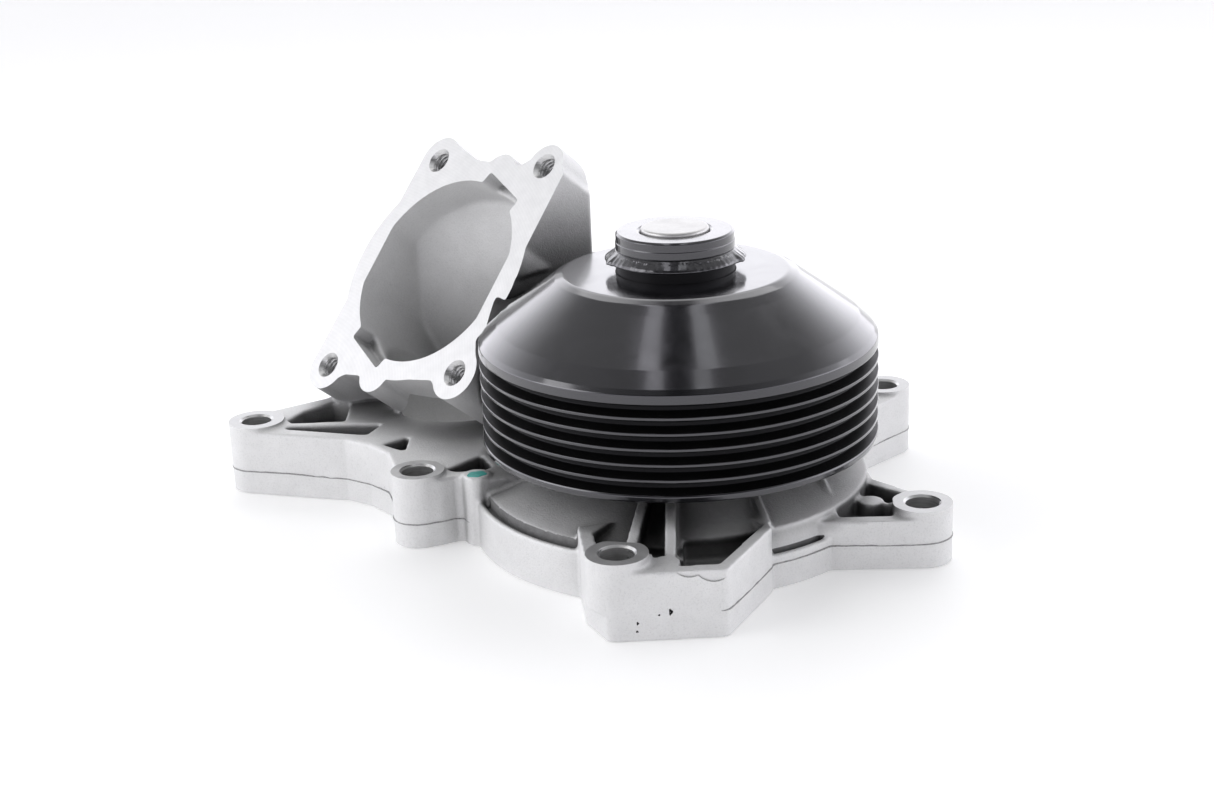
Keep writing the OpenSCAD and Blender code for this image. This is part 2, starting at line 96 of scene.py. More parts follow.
def make_world():
    """A white tent: bright, faintly violet walls, a softer roof with a dark slit and a dark upper front."""
    world = bpy.data.worlds.new("tent")
    scene.world = world
    world.use_nodes = True
    tree = world.node_tree

    def ranged(value, start, end, low, high):
        """low where the value is under start, high where it is over end, and smooth between."""
        node = tree.nodes.new("ShaderNodeMapRange")
        node.interpolation_type = "SMOOTHSTEP"
        for socket, number in zip(("From Min", "From Max", "To Min", "To Max"), (start, end, low, high)):
            node.inputs[socket].default_value = number
        tree.links.new(value, node.inputs["Value"])
        return node.outputs["Result"]

    def worked(operation, *values):
        node = tree.nodes.new("ShaderNodeMath")
        node.operation = operation
        for value, socket in zip(values, node.inputs):
            tree.links.new(value, socket)
        return node.outputs["Value"]

    coord = tree.nodes.new("ShaderNodeTexCoord")
    split = tree.nodes.new("ShaderNodeSeparateXYZ")
    tree.links.new(coord.outputs["Generated"], split.inputs[0])
    height, depth = split.outputs["Z"], split.outputs["Y"]
    side = worked("ABSOLUTE", split.outputs["X"])
    ramp = tree.nodes.new("ShaderNodeValToRGB")
    tree.links.new(ranged(height, -1.0, 1.0, 0.0, 1.0), ramp.inputs["Fac"])
    ramp.color_ramp.elements[0].color = (0.95, 0.95, 0.96, 1.0)
    for at, tint in ((0.50, (0.95, 0.94, 1.0)), (0.80, (0.96, 0.96, 1.0))):
        ramp.color_ramp.elements.new(at).color = (*tint, 1.0)
    wall_level, roof_level, ground_level = 2.30, 0.48, 0.50
    wall = ranged(height, 0.24, 0.74, wall_level, roof_level)
    ground = ranged(height, -0.12, 0.0, ground_level, 1.0)
    low_front, upper_front, slit_level = 0.62, 0.08, 0.10
    front = tree.nodes.new("ShaderNodeMix")
    tree.links.new(ranged(height, 0.15, 0.50, 0.0, 1.0), front.inputs["Factor"])
    tree.links.new(ranged(depth, -0.95, 0.10, low_front, 1.0), front.inputs["A"])
    tree.links.new(ranged(depth, -0.80, 0.05, upper_front, 1.0), front.inputs["B"])
    slit_side = ranged(side, 0.075, 0.105, slit_level, 1.0)
    overhead = ranged(height, 0.55, 0.75, 1.0, 0.0)
    slit = worked("MAXIMUM", slit_side, overhead)
    back = tree.nodes["Background"]
    tree.links.new(ramp.outputs["Color"], back.inputs["Color"])
    shaded = worked("MULTIPLY", front.outputs["Result"], slit)
    level = worked("MULTIPLY", worked("MULTIPLY", wall, ground), shaded)
    tree.links.new(level, back.inputs["Strength"])


def softbox(name, place, aim, size, power, tint=(1.0, 1.0, 1.0)):
    """A rectangular area light at place, facing aim, in millimetres."""
    data = bpy.data.lights.new(name, "AREA")
    data.shape = "RECTANGLE"
    data.size, data.size_y = size[0] * MM, size[1] * MM
    data.energy, data.color = power, tint
    light = bpy.data.objects.new(name, data)
    light.location = Vector(place) * MM
    light.rotation_euler = (Vector(aim) - Vector(place)).to_track_quat("-Z", "Y").to_euler()
    scene.collection.objects.link(light)


def make_lights():
    softbox("key_left", (-640, -220, 420), (-30, 0, 30), (460, 420), 1.5)
    softbox("strip_left", (-100, 0, 640), (0, 0, 40), (520, 70), 0.20, (0.95, 0.95, 1.0))
    softbox("strip_right", (100, 0, 640), (0, 0, 40), (520, 70), 0.16, (0.95, 0.97, 1.0))
    softbox("top_back", (60, 420, 560), (0, 0, 20), (700, 300), 0.9)
    softbox("rim_right", (700, 60, 260), (20, 0, 40), (500, 300), 0.35, (0.96, 0.96, 1.0))


def make_floor(surface):
    """A wide pale floor just under the engine face."""
    half, gap = 6.0, 0.00015
    low = cad_box[0].z - gap
    corners = [(-half, -half, low), (half, -half, low), (half, half, low), (-half, half, low)]
    floor = build("floor", (corners, [(0, 1, 2, 3)]))
    floor.data.materials.append(surface)


# ---------- materials ----------

class Surface:
    """A procedural material in the object's own coordinates. Sizes of grain are in millimetres."""

    def __init__(self, name, metallic=0.0, roughness=0.5, color=(0.8, 0.8, 0.8), **sockets):
        self.material = bpy.data.materials.new(name)
        self.material.use_nodes = True
        self.tree = self.material.node_tree
        self.shader = self.tree.nodes["Principled BSDF"]
        self.shader.inputs["Base Color"].default_value = (*color, 1.0)
        self.shader.inputs["Metallic"].default_value = metallic
        self.shader.inputs["Roughness"].default_value = roughness
        for socket, value in sockets.items():
            self.shader.inputs[socket.replace("_", " ")].default_value = value
        self.coord = self.add("ShaderNodeTexCoord").outputs["Object"]

    def add(self, kind, **settings):
        node = self.tree.nodes.new(kind)
        for key, value in settings.items():
            setattr(node, key, value)
        return node

    def link(self, output, socket):
        self.tree.links.new(output, socket)

    def stretched(self, x, y, z):
        """Coordinates scaled unevenly, for grain that runs one way."""
        node = self.add("ShaderNodeMapping")
        node.inputs["Scale"].default_value = (x, y, z)
        self.link(self.coord, node.inputs["Vector"])
        return node.outputs["Vector"]

    def noise(self, size, detail=3.0, rough=0.55, coord=None, distortion=0.0):
        node = self.add("ShaderNodeTexNoise")
        node.inputs["Scale"].default_value = 1.0 / (size * MM)
        node.inputs["Detail"].default_value = detail
        node.inputs["Roughness"].default_value = rough
        node.inputs["Distortion"].default_value = distortion
        self.link(coord or self.coord, node.inputs["Vector"])
        return node.outputs["Fac"]

    def cells(self, size, coord=None):
        node = self.add("ShaderNodeTexVoronoi")
        node.inputs["Scale"].default_value = 1.0 / (size * MM)
        self.link(coord or self.coord, node.inputs["Vector"])
        return node.outputs["Distance"]

    def ramp(self, value, *stops):
        """Colours or grey levels along a value: each stop is (position, level or colour)."""
        node = self.add("ShaderNodeValToRGB")
        bands = node.color_ramp.elements
        for i, (at, level) in enumerate(stops):
            stop = bands[i] if i < 2 else bands.new(at)
            stop.position = at
            rgb = level if isinstance(level, tuple) else (level, level, level)
            stop.color = (*rgb, 1.0)
        self.link(value, node.inputs["Fac"])
        return node.outputs["Color"]

    def spread(self, value, low, high, start=0.3, end=0.7):
        """A value remapped to a range, for roughness."""
        node = self.add("ShaderNodeMapRange")
        node.inputs["From Min"].default_value = start
        node.inputs["From Max"].default_value = end
        node.inputs["To Min"].default_value = low
        node.inputs["To Max"].default_value = high
        self.link(value, node.inputs["Value"])
        return node.outputs["Result"]

    def blend(self, factor, a, b, mode="MIX"):
        """Two colours mixed by a factor; each may be a colour or another node's output."""
        node = self.add("ShaderNodeMix", data_type="RGBA", blend_type=mode)
        slots = (node.inputs["Factor"], node.inputs[6], node.inputs[7])
        for socket, value in zip(slots, (factor, a, b)):
            if isinstance(value, tuple):
                socket.default_value = (*value, 1.0)
            elif isinstance(value, (int, float)):
                socket.default_value = value
            else:
                self.link(value, socket)
        return node.outputs[2]

    def openness(self, reach, own_piece_only):
        """1 in the open, falling towards 0 in hollows; reach is in millimetres."""
        node = self.add("ShaderNodeAmbientOcclusion", samples=6, only_local=own_piece_only)
        node.inputs["Distance"].default_value = reach * MM
        return node.outputs["AO"]

    def from_axis(self):
        """Distance from the shaft axis, in metres."""
        flat = self.add("ShaderNodeVectorMath", operation="MULTIPLY")
        flat.inputs[1].default_value = (1.0, 1.0, 0.0)
        self.link(self.coord, flat.inputs[0])
        length = self.add("ShaderNodeVectorMath", operation="LENGTH")
        self.link(flat.outputs["Vector"], length.inputs[0])
        return length.outputs["Value"]

    def upward(self, vector, low, high):
        """0 where a vector's upward part is under one value and 1 where it is over another."""
        split = self.add("ShaderNodeSeparateXYZ")
        self.link(vector, split.inputs[0])
        return self.spread(split.outputs["Z"], 0.0, 1.0, low, high)

    def facing_up(self, low, high):
        """How much the surface faces up, between two slopes; slope 1 is level."""
        return self.upward(self.add("ShaderNodeNewGeometry").outputs["Normal"], low, high)

    def height(self, low, high):
        """How high a point of the piece is, between two heights in millimetres."""
        return self.upward(self.coord, low * MM, high * MM)

    def relief(self, height, depth, strength=1.0, under=None):
        """Adds bumps of a depth in millimetres, over an earlier relief if one is given."""
        node = self.add("ShaderNodeBump")
        node.inputs["Strength"].default_value = strength
        node.inputs["Distance"].default_value = depth * MM
        self.link(height, node.inputs["Height"])
        if under:
            self.link(under, node.inputs["Normal"])
        return node.outputs["Normal"]

    def finish(self, color=None, rough=None, normal=None):
        for output, name in ((color, "Base Color"), (rough, "Roughness"), (normal, "Normal")):
            if output:
                self.link(output, self.shader.inputs[name])
        return self.material


def cast_surface():
    """As-cast aluminium: pale grey, finely sandy, with painted shade in pockets and in the hollow under the
    pulley.
    """
    s = Surface("cast_aluminium", metallic=0.35)
    flank_r, outside_r, foot_z, flank_z = 47.0, 49.5, 9.0, 12.0    # where the pulley shades the body
    grain = s.noise(0.42, 3, 0.7)
    sand = s.cells(0.55)
    cloud = s.noise(7.0, 4, 0.6, distortion=0.4)
    flow = s.noise(22.0, 2, 0.5)
    tone = s.ramp(cloud, (0.28, 0.67), (0.5, 0.71), (0.74, 0.76))
    tone = s.blend(0.35, tone, s.ramp(flow, (0.3, 0.69), (0.7, 0.77)))
    tone = s.blend(0.30, tone, s.ramp(grain, (0.30, 0.55), (0.50, 0.98), (0.72, 1.0)), "MULTIPLY")
    specks = s.ramp(s.noise(0.9, 2, 0.5), (0.22, 0.40), (0.27, 1.0))
    tone = s.blend(0.25, tone, specks, "MULTIPLY")
    # painted shade: the piece's own occlusion darkens the colour in pockets and deep hollows, less on faces
    # that look down
    pocket_shade = s.ramp(s.openness(14.0, True), (0.0, 0.16), (0.45, 0.42), (0.80, 0.90), (0.95, 1.0))
    deep = s.ramp(s.openness(42.0, True), (0.08, 0.34), (0.50, 0.74), (0.80, 1.0))
    shade_of = s.blend(1.0, pocket_shade, deep, "MULTIPLY")
    shade_of = s.blend(s.facing_up(-0.35, 0.05), s.blend(0.3, (1.0, 1.0, 1.0), shade_of), shade_of)
    tone = s.blend(1.0, tone, shade_of, "MULTIPLY")
    # painted shade under the pulley: occlusion by every piece darkens the colour near the axis, above the
    # foot
    under = s.ramp(s.openness(26.0, False), (0.32, 0.06), (0.58, 0.26), (0.80, 0.75), (0.92, 1.0))
    near_axis = s.spread(s.from_axis(), 1.0, 0.0, flank_r * MM, outside_r * MM)
    shaded = s.blend(near_axis, tone, s.blend(1.0, tone, under, "MULTIPLY"))
    tone = s.blend(s.height(foot_z, flank_z), tone, shaded)
    normal = s.relief(cloud, 0.10, 0.4)
    normal = s.relief(sand, 0.06, 0.5, normal)
    normal = s.relief(grain, 0.11, 0.8, normal)
    return s.finish(tone, s.spread(grain, 0.46, 0.66), normal)


def groove_shade_surface():
    """Dull, dark casting skin: painted shade at the bottom of narrow grooves."""
    s = Surface("groove_shade_casting", metallic=0.1)
    grain = s.noise(0.42, 3, 0.7)
    cloud = s.noise(4.0, 4, 0.6)
    tone = s.ramp(cloud, (0.3, 0.12), (0.7, 0.20))
    tone = s.blend(0.5, tone, s.ramp(grain, (0.30, 0.55), (0.50, 1.0)), "MULTIPLY")
    return s.finish(tone, s.spread(grain, 0.6, 0.8), s.relief(grain, 0.10, 0.8))


def flash_shade_surface():
    """The torn edge of flash at the parting line: duller than the skin, and darker as painted shade along
    the line.
    """
    s = Surface("flash_edge_shaded", metallic=0.3)
    grain = s.noise(0.5, 3, 0.7)
    tone = s.ramp(grain, (0.3, 0.20), (0.7, 0.46))
    return s.finish(tone, s.spread(grain, 0.5, 0.7), s.relief(grain, 0.06, 0.6))


def machined_surface(name, low, high):
    """Face-milled aluminium: bright, with faint overlapping cutter arcs."""
    s = Surface(name, metallic=0.6)
    wave = s.add("ShaderNodeTexWave", wave_type="RINGS", rings_direction="SPHERICAL")
    wave.inputs["Scale"].default_value = 420.0
    wave.inputs["Distortion"].default_value = 1.2
    wave.inputs["Detail"].default_value = 2.0
    shifted = s.add("ShaderNodeMapping")
    shifted.inputs["Location"].default_value = (0.09, -0.06, 0.02)
    s.link(s.coord, shifted.inputs["Vector"])
    s.link(shifted.outputs["Vector"], wave.inputs["Vector"])
    marks = wave.outputs["Fac"]
    haze = s.noise(3.0, 4, 0.6)
    tone = s.ramp(haze, (0.3, low), (0.7, high))
    tone = s.blend(0.06, tone, s.ramp(marks, (0.2, 0.6), (0.8, 1.0)), "MULTIPLY")
    normal = s.relief(marks, 0.006, 0.35)
    return s.finish(tone, s.spread(haze, 0.32, 0.44), normal)


def bored_surface():
    """The walls of drilled and bored holes: turned rings, darker than the faces."""
    s = Surface("bored_aluminium", metallic=0.85)
    rings = s.noise(0.35, 2, 0.5, coord=s.stretched(0.05, 0.05, 1.0))
    tone = s.ramp(rings, (0.3, 0.50), (0.7, 0.66))
    return s.finish(tone, s.spread(rings, 0.26, 0.42), s.relief(rings, 0.02, 0.5))


def coat_surface(name, base, rough, index, gloss):
    """Black electro-coat over steel, with orange peel and dust; gloss is the weight of a clear layer."""
    s = Surface(name, color=base, IOR=index, Coat_Weight=gloss, Coat_Roughness=0.10)
    s.shader.inputs["Specular Tint"].default_value = (0.93, 0.92, 1.0, 1.0)
    peel = s.noise(1.6, 3, 0.5)
    cloud = s.noise(9.0, 4, 0.6, distortion=0.6)
    dust = s.noise(0.30, 2, 0.6)
    tone = s.ramp(cloud, (0.3, base), (0.7, tuple(c * 1.5 for c in base)))
    tone = s.blend(s.spread(dust, 0.0, 0.25, 0.68, 0.76), tone, (0.16, 0.16, 0.18))
    normal = s.relief(cloud, 0.03, 0.35)
    normal = s.relief(peel, 0.012, 0.35, normal)
    return s.finish(tone, s.spread(cloud, rough - 0.05, rough + 0.07), normal)


def ground_steel(name, color, rough, along=(1.0, 1.0, 0.04)):
    """Ground or turned steel with fine lines and a faint stain."""
    s = Surface(name, metallic=1.0)
    lines = s.noise(0.22, 3, 0.6, coord=s.stretched(*along))
    stain = s.noise(5.0, 4, 0.6)
    tone = s.ramp(stain, (0.3, tuple(c * 0.86 for c in color)), (0.7, color))
    return s.finish(tone, s.spread(lines, rough - 0.06, rough + 0.10), s.relief(lines, 0.006, 0.5))


def rubber_surface():
    s = Surface("moulded_rubber", roughness=0.6, IOR=1.5)
    skin = s.noise(0.35, 4, 0.6)
    bloom = s.noise(4.0, 4, 0.6)
    tone = s.ramp(bloom, (0.35, (0.018, 0.018, 0.019)), (0.75, (0.045, 0.045, 0.047)))
    return s.finish(tone, s.spread(skin, 0.52, 0.74), s.relief(skin, 0.02, 0.5))


def resin_surface(name, low, high, rough):
    """Moulded resin: slight swirl, fine skin."""
    s = Surface(name, IOR=1.52)
    swirl = s.noise(6.0, 5, 0.65, distortion=1.2)
    skin = s.noise(0.28, 3, 0.6)
    return s.finish(s.ramp(swirl, (0.3, low), (0.7, high)), s.spread(skin, rough - 0.06, rough + 0.08),
                    s.relief(skin, 0.015, 0.5))


def brass_surface():
    s = Surface("drawn_brass", metallic=1.0)
    tarnish = s.noise(3.5, 5, 0.65)
    lines = s.noise(0.25, 3, 0.6, coord=s.stretched(1.0, 1.0, 0.06))
    tone = s.ramp(tarnish, (0.3, (0.50, 0.33, 0.12)), (0.6, (0.74, 0.55, 0.25)), (0.8, (0.80, 0.62, 0.30)))
    return s.finish(tone, s.spread(lines, 0.24, 0.42), s.relief(lines, 0.008, 0.5))


def paint_surface():
    """A dab of teal inspection paint."""
    s = Surface("inspection_paint", IOR=1.5)
    blotch = s.noise(0.9, 4, 0.6)
    tone = s.ramp(blotch, (0.3, (0.03, 0.30, 0.27)), (0.7, (0.10, 0.50, 0.44)))
    return s.finish(tone, s.spread(blotch, 0.30, 0.55), s.relief(blotch, 0.03, 0.5))


def floor_surface():
    s = Surface("pale_floor", roughness=0.6, Emission_Strength=0.22)
    s.shader.inputs["Emission Color"].default_value = (1.0, 1.0, 1.0, 1.0)
    tone = s.ramp(s.noise(60.0, 2, 0.5), (0.3, 0.915), (0.7, 0.925))
    return s.finish(tone)


surfaces = {
    "cast_alloy": cast_surface(),
    "black_coat": coat_surface("black_coat_pulley", (0.006, 0.006, 0.007), 0.17, 1.66, 0.75),
    "hub_coat": coat_surface("black_coat_hub", (0.009, 0.009, 0.010), 0.20, 1.66, 0.75),
    "shaft_steel": ground_steel("ground_shaft_steel", (0.56, 0.555, 0.55), 0.42, (0.5, 0.5, 0.5)),
    "bearing_steel": ground_steel("bearing_steel", (0.66, 0.67, 0.69), 0.16),
    "spring_steel": ground_steel("spring_steel", (0.58, 0.58, 0.60), 0.28, (1.0, 1.0, 1.0)),
    "cage_nylon": resin_surface("cage_nylon", (0.36, 0.22, 0.09), (0.46, 0.30, 0.13), 0.45),
    "seal_rubber": rubber_surface(),
    "seal_brass": brass_surface(),
    "seal_carbon": resin_surface("seal_carbon", (0.030, 0.030, 0.032), (0.055, 0.055, 0.06), 0.34),
    "seal_ceramic": resin_surface("seal_ceramic", (0.20, 0.20, 0.21), (0.26, 0.26, 0.27), 0.22),
    "impeller_resin": resin_surface("impeller_resin", (0.050, 0.044, 0.038), (0.085, 0.075, 0.065), 0.42),
}
# painted shade: a darker, dull copy of the black coat, for the pulley's grooves and the hub under its
# collar
shaded_coat = coat_surface("black_coat_shaded", (0.002, 0.002, 0.002), 0.42, 1.28, 0.0)
flash_shade = flash_shade_surface()
# painted shade for the far walls of the rim groove and the foot slot
groove_shade = groove_shade_surface()
milled = machined_surface("milled_aluminium", 0.66, 0.72)
# painted shade: the spot faces are the milled finish made darker
shaded_spot_face = machined_surface("spot_faced_aluminium_shaded", 0.46, 0.56)
bored = bored_surface()


# ---------- mesh helpers ----------

def turned(profile, at=(0, 0, 0), axis=(0, 0, 1), steps=96, closed=False, shift=None):
    """A turned form: radii and heights of its profile swept round an axis, in millimetres.
    closed joins the profile's ends, as on a ring; shift(height, angle) adds to the radius."""
    turn = np.array(Vector(axis).to_track_quat("Z", "Y").to_matrix())
    angle = np.arange(steps) * TURN / steps
    radius = np.array([p[0] for p in profile])[:, None] + np.zeros(steps)
    height = np.array([p[1] for p in profile])[:, None] + np.zeros(steps)
    if shift is not None:
        radius = radius + shift(height, angle[None, :])
    local = np.stack([radius * np.cos(angle), radius * np.sin(angle), height], -1).reshape(-1, 3)
    rows = len(profile)
    faces = []
    for i in range(rows if closed else rows - 1):
        low, high = i * steps, (i + 1) % rows * steps
        faces += [(low + k, low + (k + 1) % steps, high + (k + 1) % steps, high + k) for k in range(steps)]
    if not closed:
        faces += [tuple(range(steps - 1, -1, -1)), tuple(range((rows - 1) * steps, rows * steps))]
    return (local @ turn.T + np.array(at)) * MM, faces


def net(rows, sides, closed=False, first=0):
    """Faces between rows of points that each close on themselves. closed joins the last row to the
    first; first is the number of the first point."""
    pairs = [(i * sides, (i + 1) % rows * sides) for i in range(rows if closed else rows - 1)]
    around = [(k, (k + 1) % sides) for k in range(sides)]
    return [tuple(first + n for n in (i + k, j + k, j + m, i + m)) for i, j in pairs for k, m in around]


def block(low, high, at=(0, 0, 0), turn=None):
    """A box between two corners, in a frame placed at a point; millimetres."""
    turn = np.eye(3) if turn is None else np.array(turn)
    x, y, z = zip(low, high)
    around = ((0, 0), (1, 0), (1, 1), (0, 1))
    corners = np.array([(x[i], y[j], z[k]) for k in (0, 1) for i, j in around], float)
    faces = [(3, 2, 1, 0), (4, 5, 6, 7), (0, 1, 5, 4), (1, 2, 6, 5), (2, 3, 7, 6), (3, 0, 4, 7)]
    return (corners @ turn.T + np.array(at)) * MM, faces


def build(name, *solids):
    """One mesh object from several solids."""
    points, faces = [], []
    for verts, loops in solids:
        start = sum(len(p) for p in points)
        points.append(np.asarray(verts))
        faces += [tuple(start + k for k in loop) for loop in loops]
    mesh = bpy.data.meshes.new(name)
    mesh.from_pydata(np.concatenate(points).tolist(), [], faces)
    piece = bpy.data.objects.new(name, mesh)
    scene.collection.objects.link(piece)
    return piece


def settle(piece):
    """Applies a piece's modifiers."""
    graph = bpy.context.evaluated_depsgraph_get()
    graph.update()
    mesh = bpy.data.meshes.new_from_object(piece.evaluated_get(graph))
    piece.modifiers.clear()
    piece.data = mesh


def cut(piece, cutter):
    """Takes one closed mesh out of another and removes the cutter."""
    step = piece.modifiers.new("cut", "BOOLEAN")
    step.operation, step.object, step.solver = "DIFFERENCE", cutter, "MANIFOLD"
    settle(piece)
    bpy.data.objects.remove(cutter)


def shade(piece, angle=32):
    """Smooth shading with creases over an angle in degrees."""
    piece.data.polygons.foreach_set("use_smooth", [True] * len(piece.data.polygons))
    piece.data.set_sharp_from_angle(angle=math.radians(angle))


def dress(piece, body, slot, *nodes):
    """Rides a piece on its body, gives it its slot's finish, and stands it in for CAD nodes."""
    if not piece.data.materials:
        piece.data.materials.append(surfaces[slot])
    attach(piece, body)
    if nodes:
        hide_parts(*nodes)
    return piece


def two_finishes(piece, main, other, where):
    """Gives a piece two finishes; where(radius, height) picks the faces that have the other one."""
    piece.data.materials.append(main)
    piece.data.materials.append(other)
    for face in piece.data.polygons:
        x, y, z = face.center
        face.material_index = int(where(math.hypot(x, y) / MM, z / MM))


def rounded(points, radii, arc=5):
    """A profile with its corners rounded; radii is one radius, or one for each point."""
    count = len(points)
    radii = [radii] * count if isinstance(radii, (int, float)) else radii
    corners = [Vector(p) for p in points]
    made = []
    for i, (corner, radius) in enumerate(zip(corners, radii)):
        back, ahead = corners[i - 1] - corner, corners[(i + 1) % count] - corner
        open_angle = back.angle(ahead)
        if radius <= 0 or open_angle > math.pi - 0.02:
            made.append(tuple(corner))
            continue
        reach = min(radius / math.tan(open_angle / 2), 0.48 * back.length, 0.48 * ahead.length)
        start, end = corner + back.normalized() * reach, corner + ahead.normalized() * reach
        for k in range(arc + 1):
            t = k / arc
            made.append(tuple(start * (1 - t) ** 2 + corner * 2 * t * (1 - t) + end * t ** 2))
    return made


def supported(points, closed=True, near=0.12, least=0.6):
    """A profile with extra points near the ends of its straight stretches, so that they shade flat."""
    made = []
    for i, point in enumerate(points):
        here, there = Vector(point), Vector(points[(i + 1) % len(points)])
        made.append(tuple(here))
        if (closed or i + 1 < len(points)) and (there - here).length > least:
            step = (there - here).normalized() * near
            made += [tuple(here + step), tuple(there - step)]
    return made


def sector(inner, outer, low, high, start, end, steps=48):
    """A slice of a ring between two radii, heights and angles in degrees, on the shaft axis."""
    ring = [(r, z) for r, z in ((inner, low), (outer, low), (outer, high), (inner, high))]
    angles = np.radians(np.linspace(start, end, steps))
    points = np.array([(r * math.cos(a), r * math.sin(a), z) for a in angles for r, z in ring])
    faces = [(i * 4 + k, i * 4 + (k + 1) % 4, i * 4 + 4 + (k + 1) % 4, i * 4 + 4 + k)
             for i in range(steps - 1) for k in range(4)]
    faces += [(3, 2, 1, 0), tuple((steps - 1) * 4 + k for k in range(4))]
    return points * MM, [loop[::-1] for loop in faces]


# ---------- housing ----------

flange_at = Vector(mounts["thermostat_face"]["pos_m"]) / MM
flange_out = Vector(mounts["thermostat_face"]["axis"]).normalized()
flange_level = Vector((0, 0, 1)).cross(flange_out).normalized()
flange_up = flange_out.cross(flange_level)
flange_turn = Matrix((flange_level, flange_up, flange_out)).transposed()
flange_mouth = Vector((-62.0, 43.5, 52.7))   # the middle of the flange's opening
bolt_bores = [m for n, m in sorted(mounts.items()) if n.startswith("bolt_bore")]
thread_holes = [m for n, m in sorted(mounts.items()) if n.startswith("flange_thread")]
duct_r = mounts["coolant_port"]["dims"]["r_mm"]
port_at = [c / MM for c in mounts["coolant_port"]["pos_m"][:2]]
bearing_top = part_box("bearing_outer_ring")[1].z / MM
chamber_r, chamber_z, seal_bore_r, drain_r = 38.0, 12.5, 18.25, 13.2

VOXEL, QUICK_VOXEL = 0.45, 1.1
MOST_FACES = 150000    # triangles left on the casting
STOCK = 1.3            # machining stock left on the casting before its faces are cut
FACE_SLACK = 0.02
BELOW = 2              # how far bores start under the engine face
SPOT_R = 7.7           # radius of the spot face on a mounting boss
CORE_R = 2.95          # plugs of the threaded holes: in the hole, and in its countersink
SINK_R = 4.0
GROOVE_W, GROOVE_H = 2.8, 2.1
PARTING_Z = 5.8
FRONT_SLOPE = 0.058    # of the front wall, seen from above
MACHINED_CREASE, CAST_CREASE = 38, 72
CAST, MILLED, BORED, SPOT_FACED, PAINTED_SHADE = range(5)

# Slices of rings: inner and outer radius, low and high end, start and end in degrees.
# The painted shade ends lower than its groove and spreads a little to the sides.
RIM_GROOVE = 47.2, 48.7, 9.9, 13.4, 198, 241
RIM_SHADE = 46.9, 48.7, 9.4, 12.5, 198, 241
FOOT_SLOT = 44.3, 45.8, 5.4, 8.7, 296, 314
FOOT_SHADE = 44.2, 45.9, 5.3, 7.9, 296, 314
# Backing for the duct's wall beside the pulley, which the remesh alone is too coarse to hold
THIN_WALL = 48.9, 49.75, 26, 50.4, 128, 147


def plan(mount):
    """Where a mount lies, seen from above."""
    return mount["pos_m"][0] / MM, mount["pos_m"][1] / MM


def boss_top(mount):
    """Height of a mounting boss, from its bore: the bore's middle is half-way up the boss."""
    length = mount["dims"]["length_mm"]
    middle = mount["pos_m"][2] / MM
    return round(middle * 2 if middle * 2 > length else length, 2)


def axis_bores():
    """Everything that is bored on the shaft axis: impeller chamber, seal seat, drain, bearing seat."""
    ring_low, ring_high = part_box("bearing_outer_ring")
    bearing_r, bearing_z = ring_high.x / MM, ring_low.z / MM
    drain_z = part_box("seal_cup")[1].z / MM + 0.2
    past_top = bearing_z + 40
    return turned([
        (chamber_r, -BELOW), (chamber_r, chamber_z), (seal_bore_r, chamber_z), (seal_bore_r, drain_z),
        (drain_r, drain_z), (drain_r, bearing_z), (bearing_r, bearing_z), (bearing_r, past_top),
    ], steps=160)


def gasket_grooves(slack=0.0):
    """The grooves of the two gasket loops, as rings; slack makes them larger all round."""
    rings = []
    for node, centre in (("chamber_gasket", (0, 0)), ("port_gasket", port_at)):
        low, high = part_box(node)
        outer = (high.x - low.x) / MM / 2 + 0.1 + slack
        inner, top = outer - GROOVE_W - 2 * slack, GROOVE_H + slack
        profile = [(inner, -BELOW), (outer, -BELOW), (outer, top), (inner, top)]
        rings.append(turned(profile, (*centre, 0), steps=160, closed=True))
    return rings


def bolt_bore(mount):
    """Cutter for one mounting bore, bevelled at both ends."""
    r, top = mount["dims"]["r_mm"], boss_top(mount)
    foot_bevel, top_bevel = 0.4, 0.5
    foot_r, top_r = r + foot_bevel, r + top_bevel
    profile = [(foot_r, -1), (foot_r, 0), (r, foot_bevel), (r, top - top_bevel), (top_r, top),
               (top_r, top + 1)]
    return turned(profile, (*plan(mount), 0), steps=72)


def screw_thread(mount):
    """Cutter for one threaded hole: countersink, then a helical groove down to the drill's cone."""
    pitch, depth, core = 1.0, 0.48, mount["dims"]["r_mm"]
    length = mount["dims"]["length_mm"]

    def groove(height, angle):
        phase = (height / pitch + angle / TURN) % 1.0
        ridge = np.clip(1.6 * (1 - np.abs(2 * phase - 1)) - 0.3, 0, 1)
        fade = np.clip((-height - 0.9) / 0.5, 0, 1) * np.clip((height + length - 0.6) / 0.8, 0, 1)
        return depth * ridge * fade

    heights = np.linspace(-1.0, -length, int(length * 9))
    profile = [(core + 1.0, 1.0), (core + 1.0, 0.0), (core + 0.02, -0.98)] + [(core, h) for h in heights]
    profile.append((0.3, -length - 1.3))
    return turned(profile[::-1], hole_mouth(mount), mount["axis"], steps=48, shift=groove)


def hole_mouth(mount):
    """Where the axis of a flange hole meets the flange face."""
    middle = Vector(mount["pos_m"]) / MM
    return middle + Vector(mount["axis"]) * -(middle - flange_at).dot(flange_out)


def plugs():
    """Solids that fill the bores and grooves, so that the casting can be rounded before they are cut."""
    solids = []
    for m in bolt_bores:
        r = m["dims"]["r_mm"] + 0.9
        solids.append(turned([(r, -STOCK), (r, boss_top(m) + STOCK)], (*plan(m), 0), steps=40))
    for m in thread_holes:
        profile = [(CORE_R, -13.5), (CORE_R, -2.0), (SINK_R, -1.6), (SINK_R, STOCK)]
        solids.append(turned(profile, hole_mouth(m), m["axis"], steps=40))
    return solids + gasket_grooves(0.25)


